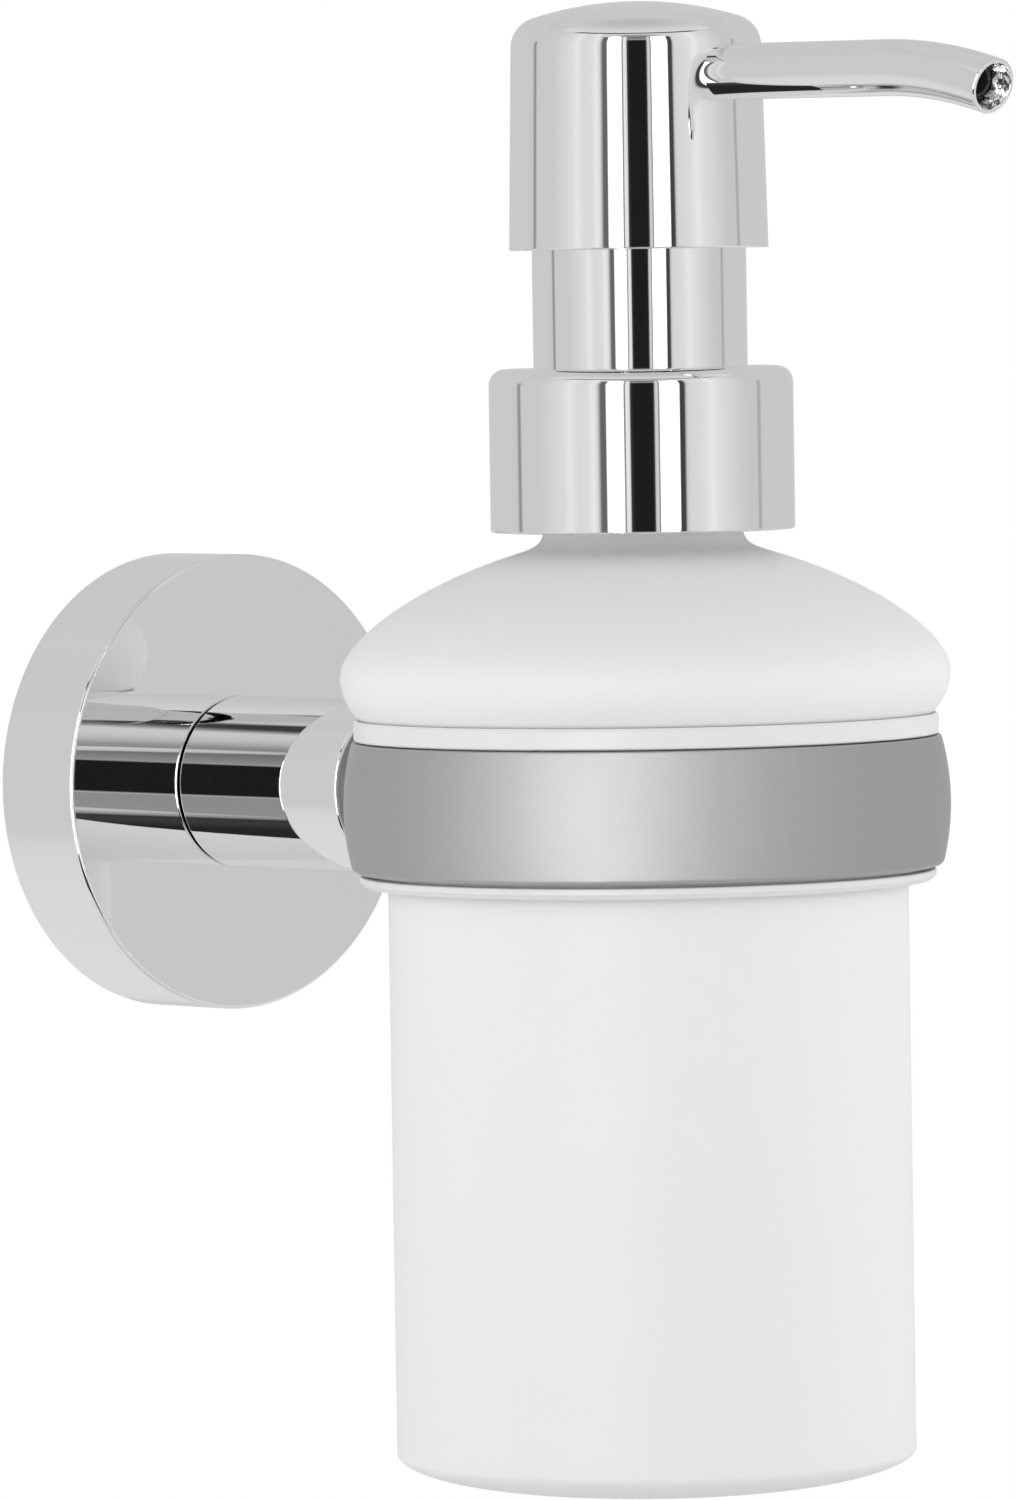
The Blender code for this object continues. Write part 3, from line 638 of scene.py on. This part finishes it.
coil, turns = [], 6.0
z_low, z_high = 1.5 + 0.3 + 0.45, 30.0 - 0.3 - 0.45
for i in range(int(turns * 40) + 1):
    u = i / (turns * 40)
    a = TAU * turns * u
    # the first and last turns lie flatter, as on a closed-end spring
    rise = u + 0.045 * math.sin(TAU * u) * -1
    coil.append((4.4 * math.cos(a), 4.4 * math.sin(a) - OUT, z_low + (z_high - z_low) * rise))
spring = swept("spring", coil, 0.45, spring_steel)
part(spring, "return_spring", "cartridge")


def ball(name, r, z, mat):
    n = 24
    profile = [(0, z + r)] + [(r * math.sin(math.pi * i / n), z + r * math.cos(math.pi * i / n)) for i in range(1, n)] + [(0, z - r)]
    pts, normals = outward(profile, False)
    v, f, nn = spun(pts, normals, False, 48, upright)
    return keep(name, v, f, nn, mat)


part(ball("ball_in", 2.1, -4.0 + 1.95, bearing), "inlet_ball", "inlet_valve")
part(ball("ball_out", 1.9, 75.35, bearing), "outlet_ball", "outlet_valve")

# ---- collar -----------------------------------------------------------------
part(
    turned(
        "collar",
        [
            (13.3, 51.9, 0.16), (18.4, 51.9, 2.0), (18.4, 32.2, 0.3), (17.5, 32.2, 0.15), (17.5, 50.8, 0.7), (13.3, 50.8, 0.12),
        ],
        192, chrome, seg=10,
    ),
    "collar_shell", "collar",
)
part(
    turned(
        "insert",
        [
            (16.0, 50.5, 0.2), (17.2, 49.3, 0.3), (17.2, 33.0, 0.2), (13.75, 33.0, 0.3), (13.75, 48.9, 0.2), (11.3, 48.9, 0.1), (11.3, 50.5, 0.1),
        ],
        128, grey_plastic,
    ),
    "collar_thread_insert", "collar",
)
o = thread("insert_thread", 13.75, 12.5, 1.1, 0.5, 38.2 - 1.6, grey_plastic)
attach(o, "collar")

# ---- plunger ----------------------------------------------------------------
part(
    turned(
        "stem",
        [
            (4.0, 84.0, 0.3), (4.0, 31.4, 0.1), (5.3, 31.4, 0.15), (5.3, 30.0, 0.2), (1.4, 30.0, 0.1), (1.4, 73.6, 0.1), (2.6, 75.0, 0.1),
            (2.6, 84.0, 0.15),
        ],
        64, white,
    ),
    "pump_stem", "plunger",
)
part(
    turned(
        "piston",
        [
            (5.9, 39.9, 0.12), (5.9, 38.7, 0.2), (5.3, 37.7, 0.3), (5.3, 33.6, 0.3), (5.9, 32.6, 0.2), (5.9, 31.7, 0.12), (4.3, 31.7, 0.1),
            (4.3, 39.9, 0.1),
        ],
        64, rubber,
    ),
    "piston_seal", "plunger",
)

# ---- push head --------------------------------------------------------------
CAP, ROUND = 42.0, 3.8
side_low, side_high = (15.66, 66.14), (15.12, 91.0)
slope = (side_low[0] - side_high[0]) / (side_high[1] - side_low[1])
cx, cz = side_high[0] - ROUND, 96 - CAP + math.sqrt((CAP - ROUND) ** 2 - (side_high[0] - ROUND) ** 2)
cx = side_high[0] + slope * (91.0 - cz) - ROUND
join = math.degrees(math.atan2(cz - (96 - CAP), cx))
head_profile = [(0, 96.0)] + [p for p in arc(0, 96 - CAP, CAP, 90, join, 30)][1:]
head_profile += arc(cx, cz, ROUND, join, math.degrees(math.atan(slope)), 16)[1:]
head_profile += [
    (side_low[0] + slope * 0.0, 66.14, 0.26), (side_low[0] - 0.9, 66.14, 0.12), (side_high[0] - 0.9, 90.9, 1.4),
]
head_profile += list(reversed([(r, 96 - CAP + math.sqrt((CAP - 0.9) ** 2 - r * r)) for r in (0, 2, 4, 6, 8, 10, 11.6)]))
part(turned("head", head_profile, 192, chrome), "head_shell", "actuator")

core = turned(
    "core",
    [
        (0, 91.2), (12.6, 91.2, 0.4), (13.75, 90.2, 0.4), (13.75, 82.5, 0.3), (8.5, 82.5, 0.6), (8.5, 66.64, 0.3), (4.35, 66.64, 0.2),
        (4.35, 84.3), (0, 84.3),
    ],
    96, grey_plastic, exact=False,
)
drill(core, [cutter("way", disc(3.7), 12, (0, -11.5 - OUT, 87.15), (0, 1, 0)), cutter("port", disc(2.0), 8, (0, -3.5 - OUT, 87.15), (0, 1, 0))])
part(core, "actuator_core", "actuator")


def line(out):
    """The spout's centreline: height and slope at a distance out from the bottle's axis."""
    bend = max(0.0, out - 42.0)
    return 87.15 - bend**2 / 120 - 0.006 * max(0.0, out - 14), -bend / 60 - (0.006 if out > 14 else 0.0)


def tube_along(name, profile, sides, mat, seg=7):
    """A profile of (radius, distance out) carried round the spout's centreline."""
    pts, normals = outward(eased(profile, True, seg), True)
    verts, nrm, faces = [], [], []
    tip = 59.3
    for (r, s), n in zip(pts, normals):
        out = min(s, tip)
        z, m = line(out)
        along = Vector((0, -1, m)).normalized()
        up = Vector((1, 0, 0)).cross(along)
        up = up if up.z > 0 else -up
        centre = Vector((0, -OUT - out, z)) + along * (s - out)
        for j in range(sides):
            a = TAU * j / sides
            radial = Vector((1, 0, 0)) * math.cos(a) + up * math.sin(a)
            verts.append(tuple((centre + radial * r) * MM))
            nrm.append(tuple((radial * n.x + along * n.y).normalized()))
    rows = len(pts)
    for i in range(rows):
        for j in range(sides):
            k, b = (j + 1) % sides, (i + 1) % rows
            faces.append((i * sides + j, i * sides + k, b * sides + k, b * sides + j))
    o = keep(name, verts, faces, nrm, mat)
    bm = bmesh.new()
    bm.from_mesh(o.data)
    flip = bm.calc_volume(signed=True) < 0
    bm.free()
    if flip:
        me = o.data
        bpy.data.objects.remove(o, do_unlink=True)
        bpy.data.meshes.remove(me)
        o = keep(name, verts, [tuple(reversed(f)) for f in faces], nrm, mat)
    return o


stations = [6.0, 14.0] + [14.0 + (58.2 - 14.0) * i / 44 for i in range(1, 45)]
outer = [(3.35, s) for s in stations] + [(3.35, 59.3, 0.3), (2.82, 59.3, 0.14)]
inner = [(2.6, 56.6), (2.5, 56.2)] + [(2.5, s) for s in (54, 50, 46, 42, 36, 28, 20, 14)] + [(2.5, 6.0)]
part(tube_along("spout_tube", outer + inner, 96, chrome, 8), "spout", "actuator")
# painted shade: the black lining darkens the spout's bore where there is only shade
o = tube_along(
    "spout_shade_lining", [(2.44, s) for s in (8, 14, 20, 28, 36, 42, 46, 50, 53)] + [(2.44, 57.1, 0.2), (1.45, 57.1, 0.2)] + [(1.45, s) for s in (53, 50, 46, 42, 36, 28, 20, 14, 8)], 64, painted_shade_black
)
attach(o, "actuator")
# painted shade: the mouth's near-black chrome stands for the shade in the opening
o = tube_along("spout_mouth", [(2.80, 57.2), (2.82, 59.1, 0.05), (2.76, 59.12, 0.05), (1.85, 57.35, 0.1), (1.85, 57.2)], 96, painted_shade_bore)
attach(o, "actuator")

# ---- studio -----------------------------------------------------------------
AZ, EL, ROLL, DIST = math.radians(-43.848), math.radians(2.642), math.radians(-0.898), 1.27564

floor_mesh = bpy.data.meshes.new("floor")
bm = bmesh.new()
bmesh.ops.create_circle(bm, cap_ends=True, segments=96, radius=1.3, matrix=Matrix.Translation((0, -0.08, -0.23)))
bm.to_mesh(floor_mesh)
bm.free()
floor = bpy.data.objects.new("floor", floor_mesh)
studio.objects.link(floor)
fm = bpy.data.materials.new("pale_floor")
fm.use_nodes = True
nt = fm.node_tree
b = nt.nodes["Principled BSDF"]
b.inputs["Base Color"].default_value = (0.93, 0.93, 0.93, 1)
b.inputs["Roughness"].default_value = 0.8
coord = nt.nodes.new("ShaderNodeTexCoord")
shift = nt.nodes.new("ShaderNodeVectorMath")
shift.operation = "ADD"
shift.inputs[1].default_value = (0, 0.08, 0.23)
length = nt.nodes.new("ShaderNodeVectorMath")
length.operation = "LENGTH"
fade = nt.nodes.new("ShaderNodeMapRange")
fade.interpolation_type = "SMOOTHSTEP"
fade.inputs["From Min"].default_value = 0.25
fade.inputs["From Max"].default_value = 1.25
fade.inputs["To Min"].default_value = 1.0
fade.inputs["To Max"].default_value = 0.0
geo = nt.nodes.new("ShaderNodeNewGeometry")
front = nt.nodes.new("ShaderNodeMath")
front.operation = "SUBTRACT"
front.inputs[0].default_value = 1.0
both = nt.nodes.new("ShaderNodeMath")
both.operation = "MULTIPLY"
nt.links.new(coord.outputs["Object"], shift.inputs[0])
nt.links.new(shift.outputs["Vector"], length.inputs[0])
nt.links.new(length.outputs["Value"], fade.inputs["Value"])
nt.links.new(geo.outputs["Backfacing"], front.inputs[1])
nt.links.new(fade.outputs["Result"], both.inputs[0])
nt.links.new(front.outputs["Value"], both.inputs[1])
nt.links.new(both.outputs["Value"], b.inputs["Alpha"])
floor_mesh.materials.append(fm)
floor.visible_glossy = False


def light(name, at, size, power, aim=(0, -0.07, 0.01)):
    data = bpy.data.lights.new(name, "AREA")
    data.shape = "RECTANGLE"
    data.size, data.size_y = size
    data.energy = power
    o = bpy.data.objects.new(name, data)
    o.location = at
    o.rotation_euler = (Vector(aim) - Vector(at)).to_track_quat("-Z", "Y").to_euler()
    o.visible_glossy = False
    o.visible_camera = False
    studio.objects.link(o)


light("soft_left", (-1.25, 0.75, 0.10), (1.2, 1.3), 1.9)
light("soft_right", (1.3, -1.05, 0.10), (1.2, 1.3), 1.6)
light("soft_top", (-0.1, -0.6, 1.4), (1.4, 1.4), 0.6)

world = bpy.data.worlds.new("tent")
bpy.context.scene.world = world
world.use_nodes = True
nt = world.node_tree
nt.nodes.clear()
link = nt.links.new


def node(kind, **inputs):
    n = nt.nodes.new(kind)
    for k, v in inputs.items():
        n.inputs[int(k[1:])].default_value = v
    return n


def math_node(op, a, b=None, c=None):
    n = nt.nodes.new("ShaderNodeMath")
    n.operation = op
    for i, v in enumerate((a, b, c)):
        if v is None:
            continue
        if isinstance(v, (int, float)):
            n.inputs[i].default_value = v
        else:
            link(v, n.inputs[i])
    return n.outputs[0]


def curve(value, low, high, stops):
    """A piecewise linear function of value: (where, level) pairs between low and high."""
    spot = math_node("DIVIDE", math_node("SUBTRACT", value, low), high - low)
    r = nt.nodes.new("ShaderNodeValToRGB")
    e = r.color_ramp.elements
    top = max(v for _, v in stops)
    for i, (x, v) in enumerate(stops):
        p = (x - low) / (high - low)
        el = e[i] if i < 2 else e.new(p)
        el.position = p
        g = v / top
        el.color = (g, g, g, 1)
    link(spot, r.inputs["Fac"])
    return math_node("MULTIPLY", r.outputs["Color"], top)


coord = nt.nodes.new("ShaderNodeTexCoord")
turn = nt.nodes.new("ShaderNodeVectorRotate")
turn.rotation_type = "Z_AXIS"
turn.inputs["Angle"].default_value = -AZ
split = nt.nodes.new("ShaderNodeSeparateXYZ")
link(coord.outputs["Generated"], turn.inputs["Vector"])
link(turn.outputs["Vector"], split.inputs["Vector"])
around = math_node("MULTIPLY", math_node("ARCTAN2", split.outputs["X"], math_node("MULTIPLY", split.outputs["Y"], -1.0)), 180 / math.pi)
rise = split.outputs["Z"]

walls = curve(
    around, -180, 180,
    [
        (-180, 0.62), (-122, 0.66), (-110, 0.64), (-99, 0.66), (-84, 0.66), (-62, 0.80),
        (-57, 0.90), (-50, 0.78), (-42, 0.80), (-37.5, 0.93), (-34, 0.70), (35, 0.74), (47, 0.80), (54, 0.91), (60, 0.82), (86, 0.64),
        (94, 0.63), (112, 0.65), (180, 0.62),
    ],
)
strips = curve(
    around, -40, 40,
    [
        (-40, 0.88), (-35.5, 0.90), (-33.5, 0.60), (-31.5, 0.15), (-27.8, 0.14), (-26.6, 1.5), (-24.6, 1.6), (-23.4, 15.0), (-17.2, 15.0), (-16.0, 1.6), (-14.2, 1.5), (-13.6, 0.22), (-12.9, 0.25),
        (-12.3, 0.95), (-9.6, 0.80), (-8.8, 0.05), (-6.5, 0.014), (7.6, 0.014), (8.8, 0.06), (9.6, 0.62), (11.4, 0.75), (12.2, 0.30),
        (12.9, 0.30), (13.4, 1.8), (27.6, 1.8), (28.6, 0.05), (32.0, 0.07), (33.4, 0.62), (36.0, 0.76), (40, 0.76),
    ],
)
height = curve(
    rise, -1, 1,
    [(-1, 0.60), (-0.66, 0.78), (-0.45, 0.76), (-0.22, 0.68), (0.30, 0.66), (0.66, 0.64), (0.71, 0.79), (0.80, 0.73), (0.92, 0.62), (1, 0.54)],
)
side = math_node("ABSOLUTE", around)
seams = curve(
    around, -180, 180,
    [
        (-110, 0.0), (-107.7, 0.55), (-105.6, 0.52), (-104.6, 0.0), (97.0, 0.0), (99.0, 0.34), (100.4, 0.34), (102.5, 0.0),
    ],
)
seams_reach = curve(rise, -1, 1, [(-0.24, 0.0), (-0.20, 1.0), (0.20, 1.0), (0.24, 0.0)])
in_walls = curve(rise, -1, 1, [(-0.34, 0.0), (-0.26, 1.0), (0.655, 1.0), (0.665, 0.0)])
tall = curve(rise, -1, 1, [(-0.47, 0.0), (-0.44, 1.0), (0.47, 1.0), (0.49, 0.0)])
short = curve(rise, -1, 1, [(-0.195, 0.0), (-0.175, 1.0), (0.285, 1.0), (0.305, 0.0)])
core = curve(around, -40, 40, [(-9.4, 0.0), (-8.8, 1.0), (8.8, 1.0), (9.4, 0.0)])
strip_zone = curve(side, 0, 180, [(34, 1.0), (37, 0.0)])
rim_line = curve(rise, -1, 1, [(0.640, 0.0), (0.662, 0.92), (0.69, 0.92), (0.705, 0.0)])
rim_zone = curve(side, 0, 180, [(62, 1.0), (76, 0.0)])
under = curve(rise, -1, 1, [(-0.72, 0.0), (-0.69, 0.97), (-0.60, 0.97), (-0.50, 0.90), (-0.475, 0.0)])
under_zone = curve(side, 0, 180, [(44, 1.0), (52, 0.0)])
above = curve(rise, -1, 1, [(0.66, 0.0), (0.70, 0.19), (0.75, 0.18), (0.84, 0.06), (0.92, 0.0)])
behind = curve(side, 0, 180, [(84, 0.0), (104, 1.0)])
inner = curve(side, 0, 180, [(10, 0.72), (16, 0.45), (24, 0.12), (30, 0.0)])
beside = curve(rise, -1, 1, [(-0.55, 0.0), (-0.50, 0.75), (-0.21, 0.75), (-0.17, 0.0), (0.28, 0.0), (0.31, 0.75), (0.42, 1.0), (0.52, 0.9), (0.60, 0.3), (0.64, 0.0)])


def mix(f, a, b):
    """a where f is 0, b where f is 1."""
    return math_node("ADD", math_node("MULTIPLY", a, math_node("SUBTRACT", 1.0, f)), math_node("MULTIPLY", b, f))


def dim(value, *factors):
    """value less the share that the factors give together."""
    share = factors[0]
    for f in factors[1:]:
        share = math_node("MULTIPLY", share, f)
    return math_node("MULTIPLY", value, math_node("SUBTRACT", 1.0, share))


level = dim(mix(in_walls, height, walls), seams, seams_reach)
level = dim(level, inner, beside)
level = mix(math_node("MULTIPLY", mix(core, tall, short), strip_zone), level, strips)
level = dim(level, rim_line, rim_zone)
level = dim(level, under, under_zone)
level = dim(level, above, behind)
even = curve(rise, -1, 1, [(-1, 1.05), (-0.6, 1.18), (-0.25, 1.34), (0.1, 1.50), (0.3, 1.42), (0.5, 0.92), (0.75, 0.64), (1, 0.52)])
evenly = curve(
    around, -180, 180,
    [(-180, 0.80), (-150, 0.62), (-122, 0.72), (-98, 1.0), (-70, 1.05), (-30, 0.90), (0, 0.87), (30, 0.90), (70, 1.02), (110, 1.06), (145, 1.04), (180, 0.90)],
)
even = math_node("MULTIPLY", even, evenly)
path = nt.nodes.new("ShaderNodeLightPath")
# the strips stand in mirror reflections alone; everything else gets the even light
mirrored = math_node("MULTIPLY", path.outputs["Is Glossy Ray"], math_node("SUBTRACT", 1.0, path.outputs["Is Transmission Ray"]))
level = mix(mirrored, even, level)
tent = nt.nodes.new("ShaderNodeBackground")
link(level, tent.inputs["Color"])
plain = nt.nodes.new("ShaderNodeBackground")
plain.inputs["Color"].default_value = (1, 1, 1, 1)
pick = nt.nodes.new("ShaderNodeMixShader")
outw = nt.nodes.new("ShaderNodeOutputWorld")
link(path.outputs["Is Camera Ray"], pick.inputs["Fac"])
link(tent.outputs["Background"], pick.inputs[1])
link(plain.outputs["Background"], pick.inputs[2])
link(pick.outputs["Shader"], outw.inputs["Surface"])

bpy.context.scene.view_settings.view_transform = "Standard"

# ---- camera -----------------------------------------------------------------
right0 = Vector((math.cos(AZ), math.sin(AZ), 0))
back = Vector((math.sin(AZ) * math.cos(EL), -math.cos(AZ) * math.cos(EL), math.sin(EL)))
up0 = back.cross(right0)
right = right0 * math.cos(ROLL) + up0 * math.sin(ROLL)
up = up0 * math.cos(ROLL) - right0 * math.sin(ROLL)
target = right0 * -0.016734 + Vector((0, -0.086, 0.005871))
where = target + back * DIST
cam = bpy.data.cameras.new("camera")
cam.sensor_width = 36.0
cam.lens = 253.1
cam.clip_start, cam.clip_end = 0.05, 50.0
eye = bpy.data.objects.new("camera", cam)
eye.matrix_world = Matrix(
    (
        (right.x, up.x, back.x, where.x),
        (right.y, up.y, back.y, where.y),
        (right.z, up.z, back.z, where.z),
        (0, 0, 0, 1),
    )
)
studio.objects.link(eye)
bpy.context.scene.camera = eye

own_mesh(spring)
